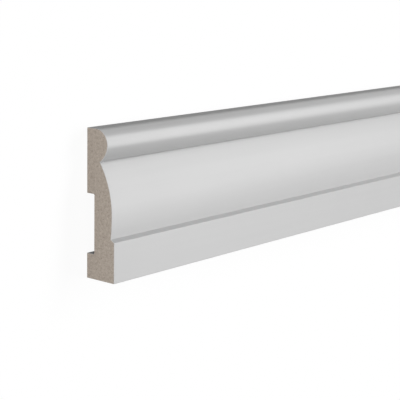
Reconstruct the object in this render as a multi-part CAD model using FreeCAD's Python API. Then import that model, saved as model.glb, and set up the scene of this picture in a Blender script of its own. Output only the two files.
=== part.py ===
# Skirting board length: one piece of MDF stock, moulded along its whole length and sawn square at both ends.
# It lies on its back with the moulded face up. X runs along the length, +Y towards the beaded top edge, and
# Z is the thickness, from the back at 0 to the plinth face. The origin is under the middle of the board.
# All sizes are in millimetres. Heights are measured from the bottom edge of the board as it is fitted to a
# wall, and the depths of the front profile from the plinth face, as the cutter is set from the sheet's face.
import FreeCAD
import Part
import math
import os

# The blank
board_length = 2400.0
board_height = 73.0
board_thickness = 18.0

# Front profile, from the bottom edge up
plinth_height = 19.9
chamfer_depth = 2.25
chamfer_rise = 1.45
crest_height = 32.4
crest_depth = 1.6
crease_depth = 9.6

# Bead along the top edge
bead_height = 15.6
bead_depth = 4.7
bead_radius = 7.35
bead_undercut_angle = 15.0

# Cable channel in the back
channel_foot_height = 12.4
channel_width = 29.2
channel_depth = 4.8
channel_corner_radius = 0.4

# Sanded outer edges
arris_radius = 0.3


class SectionPoint:
    """A point of the section: thickness from the back plane, height from the bottom edge."""

    def __init__(self, thickness, height):
        self.thickness = thickness
        self.height = height

    def moved(self, distance, angle):
        """Return the point at a distance from this one, in a direction given in radians from level."""
        along = distance * math.cos(angle)
        up = distance * math.sin(angle)
        return SectionPoint(self.thickness + along, self.height + up)

    def angle_to(self, other):
        """Return the direction of another point from this one, in radians from level."""
        return math.atan2(other.height - self.height, other.thickness - self.thickness)

    def distance_to(self, other):
        return math.hypot(other.thickness - self.thickness, other.height - self.height)

    def vector(self):
        """Return the point on the board's left sawn end."""
        return FreeCAD.Vector(-board_length / 2, self.height - board_height / 2, self.thickness)


def line(start, end):
    return Part.LineSegment(start.vector(), end.vector()).toShape()


def arc(start, middle, end):
    return Part.Arc(start.vector(), middle.vector(), end.vector()).toShape()


def arc_about(centre, start, end):
    """Return the shorter arc from start to end about a centre that is as far from both."""
    first = centre.angle_to(start)
    turn = math.remainder(centre.angle_to(end) - first, 2 * math.pi)
    middle = centre.moved(centre.distance_to(start), first + turn / 2)
    return arc(start, middle, end)


def arc_centre(touching, normal_angle, through):
    """Return the centre of the arc that passes through a point and, where it touches another point,
    has its outward normal at the given angle."""
    chord = touching.distance_to(through)
    between = touching.angle_to(through) - normal_angle
    radius = -chord / (2 * math.cos(between))
    return touching.moved(-radius, normal_angle)


def rounded_run(points, radii):
    """Return lines through the points, with an arc of the given radius at each point between the ends."""
    edges = []
    start = points[0]
    for before, corner, after, radius in zip(points, points[1:], points[2:], radii):
        towards_before = corner.angle_to(before)
        towards_after = corner.angle_to(after)
        half = math.remainder(towards_after - towards_before, 2 * math.pi) / 2
        setback = radius / abs(math.tan(half))
        arc_start = corner.moved(setback, towards_before)
        arc_end = corner.moved(setback, towards_after)
        centre = corner.moved(radius / abs(math.sin(half)), towards_before + half)
        edges.append(line(start, arc_start))
        edges.append(arc_about(centre, arc_start, arc_end))
        start = arc_end
    edges.append(line(start, points[-1]))
    return edges


# The places that the profile's curves and runs meet
level = 0.0
upright = math.pi / 2
undercut = -math.radians(bead_undercut_angle)
chamfer_top = SectionPoint(board_thickness - chamfer_depth, plinth_height + chamfer_rise)
crest = SectionPoint(board_thickness - crest_depth, crest_height)
crease = SectionPoint(board_thickness - crease_depth, board_height - bead_height)
bead_centre = SectionPoint(board_thickness - bead_depth - bead_radius, board_height - bead_radius)
bead_low = bead_centre.moved(bead_radius, undercut)
bead_top = bead_centre.moved(bead_radius, upright)


def swell():
    """The broad convex face: two arcs that meet upright at the crest."""
    lower = arc_about(arc_centre(crest, level, chamfer_top), chamfer_top, crest)
    upper = arc_about(arc_centre(crest, level, crease), crest, crease)
    return [lower, upper]


def bead():
    """The bead: a flatter underside out of the crease, then a round that turns into the top edge."""
    underside = arc_about(arc_centre(bead_low, undercut, crease), crease, bead_low)
    round_over = arc_about(bead_centre, bead_low, bead_top)
    return [underside, round_over]


def top_back_bottom_and_plinth():
    """The straight faces, from the bead over the top edge, the back with its channel and the bottom edge
    to the plinth and its chamfer."""
    channel_top_height = channel_foot_height + channel_width
    points = [
        bead_top,
        SectionPoint(0, board_height),
        SectionPoint(0, channel_top_height),
        SectionPoint(channel_depth, channel_top_height),
        SectionPoint(channel_depth, channel_foot_height),
        SectionPoint(0, channel_foot_height),
        SectionPoint(0, 0),
        SectionPoint(board_thickness, 0),
        SectionPoint(board_thickness, plinth_height),
        chamfer_top,
    ]
    radii = [
        arris_radius,
        arris_radius,
        channel_corner_radius,
        channel_corner_radius,
        arris_radius,
        arris_radius,
        arris_radius,
        arris_radius,
    ]
    return rounded_run(points, radii)


def skirting_board():
    """The section drawn at the left end and run along the whole length."""
    outline = Part.Wire(swell() + bead() + top_back_bottom_and_plinth())
    section = Part.Face(outline)
    return section.extrude(FreeCAD.Vector(board_length, 0, 0))


os.makedirs("parts", exist_ok=True)
skirting_board().exportStep("parts/skirting_board.step")
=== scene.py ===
"""A length of primed MDF skirting board, lying on its back with the moulded face up.

The board is drawn as a joiner would set out its section: one point is walked round the outline, along
straight runs and round arcs, and the section is then drawn out to the full length. Its long faces are
primed, and its two sawn ends are bare fibreboard. All lengths are in metres.
"""
import math

import bpy
from mathutils import Matrix, Quaternion, Vector


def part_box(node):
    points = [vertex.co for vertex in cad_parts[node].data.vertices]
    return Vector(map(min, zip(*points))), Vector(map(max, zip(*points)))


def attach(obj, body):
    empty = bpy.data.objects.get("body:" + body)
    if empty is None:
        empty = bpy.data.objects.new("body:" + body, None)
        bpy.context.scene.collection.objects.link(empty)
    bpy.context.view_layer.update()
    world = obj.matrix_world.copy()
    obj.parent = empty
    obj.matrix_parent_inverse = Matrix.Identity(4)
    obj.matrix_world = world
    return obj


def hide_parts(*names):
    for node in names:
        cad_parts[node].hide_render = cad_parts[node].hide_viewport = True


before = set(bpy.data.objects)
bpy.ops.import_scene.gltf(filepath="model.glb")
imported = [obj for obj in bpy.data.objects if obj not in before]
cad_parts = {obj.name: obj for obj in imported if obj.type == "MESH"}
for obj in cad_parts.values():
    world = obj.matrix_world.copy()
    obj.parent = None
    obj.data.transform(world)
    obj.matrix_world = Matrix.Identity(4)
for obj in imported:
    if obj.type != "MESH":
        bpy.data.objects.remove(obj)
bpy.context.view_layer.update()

MM = 0.001

# Where the board lies
NODE = "skirting_board"
board_low, board_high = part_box(NODE)
LEFT_END, RIGHT_END = board_low.x, board_high.x
BOTTOM_EDGE, TOP_EDGE = board_low.y, board_high.y
BACK, PLINTH_FACE = board_low.z, board_high.z
BOARD_HEIGHT = TOP_EDGE - BOTTOM_EDGE

# The front of the section: heights from the bottom edge, depths from the plinth face
PLINTH_HEIGHT = 19.9 * MM
CHAMFER_DEPTH = 2.25 * MM
CHAMFER_RISE = 1.45 * MM
CREST_HEIGHT = 32.4 * MM
CREST_DEPTH = 1.6 * MM
CREASE_DEPTH = 9.6 * MM
BEAD_HEIGHT = 15.6 * MM
BEAD_DEPTH = 4.7 * MM
BEAD_RADIUS = 7.35 * MM
BEAD_UNDERCUT = math.radians(15)
UPRIGHT = math.pi / 2

# The cable channel in the back
CHANNEL_FOOT = 12.4 * MM
CHANNEL_WIDTH = 29.2 * MM
CHANNEL_DEPTH = 4.8 * MM
CHANNEL_CORNER = 0.4 * MM

# How the edges are eased, how finely the outline and the length are divided, and how far along the board
# a face has to look to be the flat of a sawn end
ARRIS = 0.3 * MM
SAWN_RIM = 0.12 * MM
CHORD_ERROR = 0.004 * MM
LENGTH_BAYS = 24
MERGE_DISTANCE = 0.002 * MM
SHARP_ANGLE = math.radians(32)
END_FACING = 0.9

# The primer: where the spray and the light come from, and how squarely a face meets them where the coat
# # is thin and darkened as painted shade, and where it is full and unshaded
SPRAY_AND_LIGHT_FROM = Vector((0, -0.3, 0.95))
SPRAY_AND_LIGHT_REACH = (-0.26, 0.14)

# Painted shade in the crease under the bead: how much it darkens the primer, and how far out it reaches
CREASE_PAINTED_SHADE_COVER = 0.5
CREASE_SHADE = 1.8 * MM

# The primer's colours and sheen; the thin coat's darker grey is painted shade
PAINT_LIGHT = (0.665, 0.665, 0.665)
PAINT_SHADE = (0.645, 0.645, 0.645)
# Painted shade: this darker grey of the thin coat stands for the shade on the top edge, the back and the
# channel
PAINT_THIN_AND_SHADED = (0.42, 0.42, 0.42)
PAINT_SPECULAR = 0.8
SATIN_ROUGHNESS = (0.37, 0.39)
THIN_ROUGHNESS = 0.85

# The primer's patterns: patches to the metre, the levels of a pattern that count, and depths of relief
DRAWN_OUT = (0.02, 1, 1)
STREAKS = 260
CLOUDS = 45
TONE_LEVELS = (0.1, 0.4)
CLOUD_LEVELS = (0.3, 0.7)
FUZZ = 1500
FUZZ_DEPTH = 0.06 * MM
SANDING = 2600
SANDING_DEPTH = 0.002 * MM
PEEL = 620
PEEL_DEPTH = 0.004 * MM

# The bare fibreboard's colours, sheen and relief, and how far its fibres and specks cover the felt
FELT_LIGHT = (0.56, 0.491, 0.424)
FELT_DARK = (0.268, 0.226, 0.19)
PALE_FIBRE = (0.57, 0.506, 0.442)
DARK_FIBRE = (0.255, 0.213, 0.179)
BARK = (0.17, 0.147, 0.128)
SAWN_SPECULAR = 0.2
SAWN_ROUGHNESS = 0.92
FELT_DEPTH = 0.1 * MM
FIBRE_DEPTH = 0.02 * MM
FIBRE_COVER = 0.45
BARK_COVER = 0.8

# The fibreboard's grain: patches to the metre, how they are drawn out, and the levels that count
FELT_GRAIN = 790
FELT_LEVELS = (0.25, 0.75)
PALE_GRAIN = 1500
PALE_STRETCH = (1, 0.7, 1.2)
DARK_GRAIN = 1300
DARK_STRETCH = (1.3, 0.8, 1.1)
BARK_GRAIN = 1100
BARK_STRETCH = (1, 1.2, 0.8)
BARK_LEVELS = (0.66, 0.76)
MIDDLE_LEVEL = 0.5
FIBRE_EDGE = 0.47

# The photograph's camera, on a sensor and with a lens in millimetres
SENSOR_WIDTH = 36.0
LENS = 114.2
CAMERA_PLACE = Vector((-1.6206, 0.1209, 0.4197))
CAMERA_TARGET = Vector((-1.1287, -0.0069, 0.0106))
CAMERA_ROLL = math.radians(1.11)
CAMERA_NEAR = 0.01
CAMERA_FAR = 100

# The studio's floor and world
WHITE = (1, 1, 1, 1)
FLOOR_SIZE = 60
FLOOR_TONE = 0.6
SHADOW_TONE = 0.1
FLOOR_GLOW = 0.94
AMBIENT = 0.1

# The lamps: the way to each, how wide it is seen from the board, and its strength. At a strength of 1, a
# white surface that faces the lamp shows about white.
SOFT_BOX_TOWARDS = Vector((0.724, 0.166, 0.669))
SOFT_BOX_ALONG = Vector((0, 0.949, -0.316))
SOFT_BOX_LENGTH = math.radians(60)
SOFT_BOX_WIDTH = math.radians(17)
SOFT_BOX_STRENGTH = 0.765
SOFT_BOX_DISTANCE = 40
END_FILL_TOWARDS = Vector((-0.99, 0, 0.14))
END_FILL_WIDTH = math.radians(20)
END_FILL_STRENGTH = 0.74


def section_point(height, depth):
    """A point of the section at the left sawn end, by its height and its depth from the plinth face."""
    return Vector((LEFT_END + SAWN_RIM, BOTTOM_EDGE + height, PLINTH_FACE - depth))


def back_point(height, rise=0.0):
    """A point on the back of the section, or at a rise above it, by its height."""
    return Vector((LEFT_END + SAWN_RIM, BOTTOM_EDGE + height, BACK + rise))


def crease_point():
    """The sharp inner corner where the bead meets the swell."""
    return section_point(BOARD_HEIGHT - BEAD_HEIGHT, CREASE_DEPTH)


def direction(angle):
    """The way a section's normal points, turned from straight out of the face towards the top edge."""
    return Vector((0, math.sin(angle), math.cos(angle)))


def tangent_centre(touching, normal, through):
    """The centre of the arc that leaves a point square to its normal and passes through another."""
    chord = through - touching
    return touching + normal * (chord.length_squared / (2 * chord.dot(normal)))


class ProfilePen:
    """Draws the outline in edit mode, from the one vertex that is selected at its place."""

    def __init__(self, place):
        self.place = place

    def line_to(self, place):
        bpy.ops.mesh.extrude_region_move(TRANSFORM_OT_translate={"value": place - self.place})
        self.place = place

    def arc_to(self, place, centre):
        start = self.place - centre
        end = place - centre
        turn = math.atan2(start.cross(end).x, start.dot(end))
        step = 2 * math.acos(1 - CHORD_ERROR / start.length)
        steps = math.ceil(abs(turn) / step)
        bpy.ops.mesh.spin(steps=steps, angle=turn, center=centre, axis=(-1, 0, 0))
        self.place = place

    def round_corner(self, corner, after, radius):
        """Runs up to a corner and turns round it, ready for the straight run to the point after it."""
        back = (self.place - corner).normalized()
        on = (after - corner).normalized()
        half = back.angle(on) / 2
        setback = radius / math.tan(half)
        centre = corner + (back + on).normalized() * (radius / math.sin(half))
        self.line_to(corner + back * setback)
        self.arc_to(corner + on * setback, centre)


def draw_swell_and_bead(pen):
    """The moulded face, from the chamfer over the swell's crest to the crease and round the bead."""
    crest = section_point(CREST_HEIGHT, CREST_DEPTH)
    crease = crease_point()
    bead_centre = section_point(BOARD_HEIGHT - BEAD_RADIUS, BEAD_DEPTH + BEAD_RADIUS)
    undercut = direction(-BEAD_UNDERCUT)
    bead_low = bead_centre + undercut * BEAD_RADIUS
    pen.arc_to(crest, tangent_centre(crest, direction(0), pen.place))
    pen.arc_to(crease, tangent_centre(crest, direction(0), crease))
    pen.arc_to(bead_low, tangent_centre(bead_low, undercut, crease))
    pen.arc_to(bead_centre + direction(UPRIGHT) * BEAD_RADIUS, bead_centre)


def draw_straight_faces(pen, chamfer_top):
    """The top edge, the back with its channel, the bottom edge, the plinth and its chamfer."""
    channel_top = CHANNEL_FOOT + CHANNEL_WIDTH
    corners = [
        (back_point(BOARD_HEIGHT), ARRIS),
        (back_point(channel_top), ARRIS),
        (back_point(channel_top, CHANNEL_DEPTH), CHANNEL_CORNER),
        (back_point(CHANNEL_FOOT, CHANNEL_DEPTH), CHANNEL_CORNER),
        (back_point(CHANNEL_FOOT), ARRIS),
        (back_point(0), ARRIS),
        (section_point(0, 0), ARRIS),
        (section_point(PLINTH_HEIGHT, 0), ARRIS),
        (chamfer_top, 0),
    ]
    for (corner, radius), (after, _) in zip(corners, corners[1:]):
        pen.round_corner(corner, after, radius)
    pen.line_to(chamfer_top)


def select_faces(board, wanted):
    """In edit mode, selects the faces for which wanted(face) holds."""
    bpy.ops.mesh.select_all(action="DESELECT")
    bpy.ops.object.mode_set(mode="OBJECT")
    for face in board.data.polygons:
        face.select = wanted(face)
    bpy.ops.object.mode_set(mode="EDIT")
    bpy.ops.mesh.select_mode(type="FACE")


def is_sawn(face):
    """Whether a face is the flat of a sawn end, inside its eased rim."""
    return abs(face.normal.x) > END_FACING


def model_board():
    """The whole board as one closed mesh, with its place in its vertices."""
    chamfer_top = section_point(PLINTH_HEIGHT + CHAMFER_RISE, CHAMFER_DEPTH)

    # A small plane, merged to one vertex at the chamfer's top, is where the pen starts and ends
    bpy.ops.object.select_all(action="DESELECT")
    bpy.ops.mesh.primitive_plane_add(size=ARRIS)
    board = bpy.context.object
    board.name = "moulded_board"
    bpy.ops.object.mode_set(mode="EDIT")
    bpy.ops.mesh.select_mode(type="VERT")
    bpy.ops.mesh.select_all(action="SELECT")
    bpy.ops.mesh.merge(type="CENTER")
    bpy.ops.transform.translate(value=chamfer_top)

    pen = ProfilePen(chamfer_top)
    draw_swell_and_bead(pen)
    draw_straight_faces(pen, chamfer_top)
    bpy.ops.mesh.select_all(action="SELECT")
    bpy.ops.mesh.remove_doubles(threshold=MERGE_DISTANCE)
    bpy.ops.mesh.edge_face_add()

    bay = (RIGHT_END - LEFT_END - 2 * SAWN_RIM) / LENGTH_BAYS
    for _ in range(LENGTH_BAYS):
        bpy.ops.mesh.extrude_region_move(TRANSFORM_OT_translate={"value": (bay, 0, 0)})
    bpy.ops.mesh.select_all(action="SELECT")
    bpy.ops.mesh.normals_make_consistent(inside=False)

    # The saw leaves a thin eased rim round each end
    select_faces(board, is_sawn)
    bpy.ops.mesh.inset(thickness=SAWN_RIM, depth=SAWN_RIM, use_individual=True)
    bpy.ops.object.mode_set(mode="OBJECT")

    bpy.ops.object.shade_smooth_by_angle(angle=SHARP_ANGLE)
    weighted = board.modifiers.new("face_weighted_shading", "WEIGHTED_NORMAL")
    weighted.keep_sharp = True
    bpy.ops.object.modifier_apply(modifier=weighted.name)
    return board


def new_material(name):
    """A new material, with its nodes and links to work on."""
    material = bpy.data.materials.new(name)
    material.use_nodes = True
    return material, material.node_tree.nodes, material.node_tree.links


def object_place(nodes):
    """Places on the board in metres, as the board's own coordinates."""
    return nodes.new("ShaderNodeTexCoord").outputs["Object"]


def stretched(nodes, links, scale):
    """The board's own coordinates, drawn out or pressed together along each axis."""
    mapping = nodes.new("ShaderNodeMapping")
    mapping.inputs["Scale"].default_value = scale
    links.new(object_place(nodes), mapping.inputs["Vector"])
    return mapping.outputs["Vector"]


def mottle(nodes, links, place, per_metre, detail=2.0, roughness=0.5, distortion=0.0):
    """Soft random grain, from 0 to 1, with about so many patches to the metre."""
    noise = nodes.new("ShaderNodeTexNoise")
    noise.inputs["Scale"].default_value = per_metre
    noise.inputs["Detail"].default_value = detail
    noise.inputs["Roughness"].default_value = roughness
    noise.inputs["Distortion"].default_value = distortion
    links.new(place, noise.inputs["Vector"])
    return noise.outputs["Fac"]


def spread(nodes, links, value, levels, to_levels=(0, 1)):
    """A value between two levels, drawn out to lie between two others and held there."""
    reach = nodes.new("ShaderNodeMapRange")
    reach.inputs["From Min"].default_value = levels[0]
    reach.inputs["From Max"].default_value = levels[1]
    reach.inputs["To Min"].default_value = to_levels[0]
    reach.inputs["To Max"].default_value = to_levels[1]
    links.new(value, reach.inputs["Value"])
    return reach.outputs["Result"]


def combine(nodes, links, operation, first, second):
    """Two values, added, multiplied or the like."""
    math_node = nodes.new("ShaderNodeMath")
    math_node.operation = operation
    links.new(first, math_node.inputs[0])
    links.new(second, math_node.inputs[1])
    return math_node.outputs[0]


def tinted(nodes, links, fac, from_colour, to_colour):
    """A colour between two, which may be plain colours or sockets."""
    mix = nodes.new("ShaderNodeMix")
    mix.data_type = "RGBA"
    links.new(fac, mix.inputs["Factor"])
    for socket, colour in ((mix.inputs["A"], from_colour), (mix.inputs["B"], to_colour)):
        if isinstance(colour, tuple):
            socket.default_value = (*colour, 1)
        else:
            links.new(colour, socket)
    return mix.outputs["Result"]


def bumped(nodes, links, height, depth, under=None):
    """A surface normal for a relief of the given depth, laid over another relief if there is one."""
    bump = nodes.new("ShaderNodeBump")
    bump.inputs["Distance"].default_value = depth
    links.new(height, bump.inputs["Height"])
    if under:
        links.new(under, bump.inputs["Normal"])
    return bump.outputs["Normal"]


def facing_spray_and_light(nodes, links):
    """1 where the spray lands and no shade is painted, on the moulded face and the bottom edge, and 0 on the
    top edge, the back and the channel, where the coat is thin and painted shade darkens it."""
    facing = nodes.new("ShaderNodeVectorMath")
    facing.operation = "DOT_PRODUCT"
    links.new(nodes.new("ShaderNodeTexCoord").outputs["Normal"], facing.inputs[0])
    facing.inputs[1].default_value = SPRAY_AND_LIGHT_FROM
    return spread(nodes, links, facing.outputs["Value"], SPRAY_AND_LIGHT_REACH)


def crease_painted_shade(nodes, links):
    """Painted shade in the crease under the bead: a share that is least in the crease and 1 a short way out
    of it, which darkens the primer there.
    """
    crease = crease_point()
    offset = nodes.new("ShaderNodeMapping")
    offset.inputs["Scale"].default_value = (0, 1, 1)
    offset.inputs["Location"].default_value = (0, -crease.y, -crease.z)
    links.new(object_place(nodes), offset.inputs["Vector"])
    distance = nodes.new("ShaderNodeVectorMath")
    distance.operation = "LENGTH"
    links.new(offset.outputs["Vector"], distance.inputs[0])
    return spread(nodes, links, distance.outputs["Value"], (0, CREASE_SHADE), (CREASE_PAINTED_SHADE_COVER, 1))


def primer_paint():
    """Factory primer, sprayed from the face side and a little from below: satin where it lands, and thin,
    matt and a little grainy with raised fibres on the top edge, the back and the channel, where it is also
    coloured darker as painted shade. The crease under the bead is darkened as painted shade too."""
    material, nodes, links = new_material("primer_paint")
    shader = nodes["Principled BSDF"]
    shader.inputs["Specular IOR Level"].default_value = PAINT_SPECULAR

    face = facing_spray_and_light(nodes, links)
    along = stretched(nodes, links, DRAWN_OUT)
    streaks = mottle(nodes, links, along, STREAKS)
    clouds = mottle(nodes, links, object_place(nodes), CLOUDS)
    tone = spread(nodes, links, combine(nodes, links, "MULTIPLY", streaks, clouds), TONE_LEVELS)
    coat = tinted(nodes, links, tone, PAINT_SHADE, PAINT_LIGHT)
    # Painted shade: the primer turns to the thin coat's darker grey on the top edge, the back and the
    # channel, and part way in the crease under the bead
    cover = combine(nodes, links, "MULTIPLY", face, crease_painted_shade(nodes, links))
    links.new(tinted(nodes, links, cover, PAINT_THIN_AND_SHADED, coat), shader.inputs["Base Color"])

    satin = spread(nodes, links, clouds, CLOUD_LEVELS, SATIN_ROUGHNESS)
    sheen = nodes.new("ShaderNodeMix")
    links.new(face, sheen.inputs["Factor"])
    sheen.inputs["A"].default_value = THIN_ROUGHNESS
    links.new(satin, sheen.inputs["B"])
    links.new(sheen.outputs["Result"], shader.inputs["Roughness"])

    fuzz = mottle(nodes, links, object_place(nodes), FUZZ, detail=3.0)
    raised = combine(nodes, links, "MULTIPLY", fuzz, spread(nodes, links, face, (0, 1), (1, 0)))
    fuzzy = bumped(nodes, links, raised, FUZZ_DEPTH)
    sanded = bumped(nodes, links, mottle(nodes, links, along, SANDING), SANDING_DEPTH, fuzzy)
    peel = mottle(nodes, links, object_place(nodes), PEEL, detail=1.0)
    links.new(bumped(nodes, links, peel, PEEL_DEPTH, sanded), shader.inputs["Normal"])
    return material


def fibres(nodes, links, place, per_metre):
    """Thin curling lines, 1 on a fibre and 0 beside it, along the middle level of a grain."""
    grain = mottle(nodes, links, place, per_metre, detail=3.0, roughness=0.6, distortion=0.6)
    fold = nodes.new("ShaderNodeMath")
    fold.operation = "PINGPONG"
    fold.inputs[1].default_value = MIDDLE_LEVEL
    links.new(grain, fold.inputs[0])
    return spread(nodes, links, fold.outputs[0], (FIBRE_EDGE, MIDDLE_LEVEL))


def covered(nodes, links, colour, part, cover, over):
    """A colour with another laid over it, up to a share of cover where the part is 1."""
    return tinted(nodes, links, spread(nodes, links, part, (0, 1), (0, cover)), colour, over)


def bare_fibreboard():
    """The sawn core: a felt of short wood fibres, grey-brown, with pale and dark ones and specks of bark."""
    material, nodes, links = new_material("bare_fibreboard")
    shader = nodes["Principled BSDF"]
    shader.inputs["Roughness"].default_value = SAWN_ROUGHNESS
    shader.inputs["Specular IOR Level"].default_value = SAWN_SPECULAR

    place = object_place(nodes)
    felt = mottle(nodes, links, place, FELT_GRAIN, detail=6.0, roughness=0.75, distortion=0.3)
    pale = fibres(nodes, links, stretched(nodes, links, PALE_STRETCH), PALE_GRAIN)
    dark = fibres(nodes, links, stretched(nodes, links, DARK_STRETCH), DARK_GRAIN)
    specks = mottle(nodes, links, stretched(nodes, links, BARK_STRETCH), BARK_GRAIN, detail=1.0)
    colour = tinted(nodes, links, spread(nodes, links, felt, FELT_LEVELS), FELT_DARK, FELT_LIGHT)
    colour = covered(nodes, links, colour, pale, FIBRE_COVER, PALE_FIBRE)
    colour = covered(nodes, links, colour, dark, FIBRE_COVER, DARK_FIBRE)
    bark = spread(nodes, links, specks, BARK_LEVELS, (0, BARK_COVER))
    links.new(tinted(nodes, links, bark, colour, BARK), shader.inputs["Base Color"])

    matted = bumped(nodes, links, felt, FELT_DEPTH)
    lines = combine(nodes, links, "SUBTRACT", pale, dark)
    links.new(bumped(nodes, links, lines, FIBRE_DEPTH, matted), shader.inputs["Normal"])
    return material


def dress_board(board):
    """Primer on the long faces and the eased rims, and bare fibreboard on the sawn ends."""
    board.data.materials.append(primer_paint())
    board.data.materials.append(bare_fibreboard())
    for face in board.data.polygons:
        face.material_index = 1 if is_sawn(face) else 0


def seen_directly(nodes, links):
    """A socket that is 1 where the camera, a reflection or a clear body looks straight at a surface."""
    ray = nodes.new("ShaderNodeLightPath")
    total = ray.outputs["Is Camera Ray"]
    for kind in ("Is Glossy Ray", "Is Transmission Ray"):
        add = nodes.new("ShaderNodeMath")
        add.operation = "ADD"
        add.use_clamp = True
        links.new(total, add.inputs[0])
        links.new(ray.outputs[kind], add.inputs[1])
        total = add.outputs[0]
    return total


def make_floor():
    """A plain pale floor. Seen directly, it glows, and its own tone is only the rest of the way to white,
    so that it reads white and keeps a faint shadow of the board."""
    bpy.ops.object.select_all(action="DESELECT")
    bpy.ops.mesh.primitive_plane_add(size=FLOOR_SIZE, location=(0, 0, BACK))
    floor = bpy.context.object
    floor.name = "studio_floor"
    material, nodes, links = new_material("floor_paper")
    paper = nodes["Principled BSDF"]
    paper.inputs["Roughness"].default_value = 1.0
    paper.inputs["Specular IOR Level"].default_value = 0.0
    paper.inputs["Emission Color"].default_value = WHITE
    seen = seen_directly(nodes, links)
    tone = tinted(nodes, links, seen, (FLOOR_TONE,) * 3, (SHADOW_TONE,) * 3)
    links.new(tone, paper.inputs["Base Color"])
    glow = spread(nodes, links, seen, (0, 1), (0, FLOOR_GLOW))
    links.new(glow, paper.inputs["Emission Strength"])

    # The glow is only seen and mirrored, so it isn't sampled as a lamp, which would leave the board noisy
    material.cycles.emission_sampling = "NONE"
    floor.data.materials.append(material)


def add_soft_box():
    """A tall soft box, high up beyond the far end, as a far rectangle that spans its two angles."""
    outward = SOFT_BOX_TOWARDS.normalized()
    short_side = outward.cross(SOFT_BOX_ALONG).normalized()
    long_side = short_side.cross(outward)
    light = bpy.data.lights.new("soft_box", "AREA")
    light.shape = "RECTANGLE"
    light.size = 2 * SOFT_BOX_DISTANCE * math.tan(SOFT_BOX_LENGTH / 2)
    light.size_y = 2 * SOFT_BOX_DISTANCE * math.tan(SOFT_BOX_WIDTH / 2)
    light.energy = SOFT_BOX_STRENGTH * (math.pi * SOFT_BOX_DISTANCE) ** 2
    lamp = bpy.data.objects.new("soft_box", light)
    bpy.context.scene.collection.objects.link(lamp)
    lamp.location = outward * SOFT_BOX_DISTANCE
    lamp.rotation_mode = "QUATERNION"
    lamp.rotation_quaternion = Matrix((long_side, short_side, outward)).transposed().to_quaternion()


def add_end_fill():
    """A distant lamp that faces the near sawn end and leaves no glare on the paint."""
    light = bpy.data.lights.new("end_fill", "SUN")
    light.energy = END_FILL_STRENGTH * math.pi
    light.angle = END_FILL_WIDTH
    lamp = bpy.data.objects.new("end_fill", light)
    bpy.context.scene.collection.objects.link(lamp)
    lamp.rotation_mode = "QUATERNION"
    lamp.rotation_quaternion = END_FILL_TOWARDS.to_track_quat("Z", "Y")
    lamp.visible_glossy = False


def light_studio():
    """A dim even world, which is white where it is seen directly, and the two lamps."""
    world = bpy.data.worlds.new("studio")
    bpy.context.scene.world = world
    world.use_nodes = True
    nodes, links = world.node_tree.nodes, world.node_tree.links
    ambient = nodes["Background"]
    ambient.inputs["Color"].default_value = WHITE
    ambient.inputs["Strength"].default_value = AMBIENT
    white = nodes.new("ShaderNodeBackground")
    white.inputs["Color"].default_value = WHITE
    white.inputs["Strength"].default_value = 1.0
    mix = nodes.new("ShaderNodeMixShader")
    links.new(seen_directly(nodes, links), mix.inputs["Fac"])
    links.new(ambient.outputs["Background"], mix.inputs[1])
    links.new(white.outputs["Background"], mix.inputs[2])
    links.new(mix.outputs[0], nodes["World Output"].inputs["Surface"])
    add_soft_box()
    add_end_fill()


def place_camera():
    """The photograph's viewpoint, with the board's top edge upwards in the picture."""
    forward = (CAMERA_TARGET - CAMERA_PLACE).normalized()
    to_top_edge = Vector((0, 1, 0))
    right = forward.cross(to_top_edge).normalized()
    up = right.cross(forward)
    data = bpy.data.cameras.new("camera")
    data.sensor_width = SENSOR_WIDTH
    data.lens = LENS
    data.clip_start = CAMERA_NEAR
    data.clip_end = CAMERA_FAR
    camera = bpy.data.objects.new("camera", data)
    bpy.context.scene.collection.objects.link(camera)
    camera.location = CAMERA_PLACE
    camera.rotation_mode = "QUATERNION"
    level = Matrix((right, up, -forward)).transposed().to_quaternion()
    camera.rotation_quaternion = level @ Quaternion((0, 0, 1), CAMERA_ROLL)
    bpy.context.scene.camera = camera


board = model_board()
dress_board(board)
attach(board, "root")
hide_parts(NODE)

make_floor()
light_studio()
place_camera()
bpy.context.scene.view_settings.view_transform = "Standard"
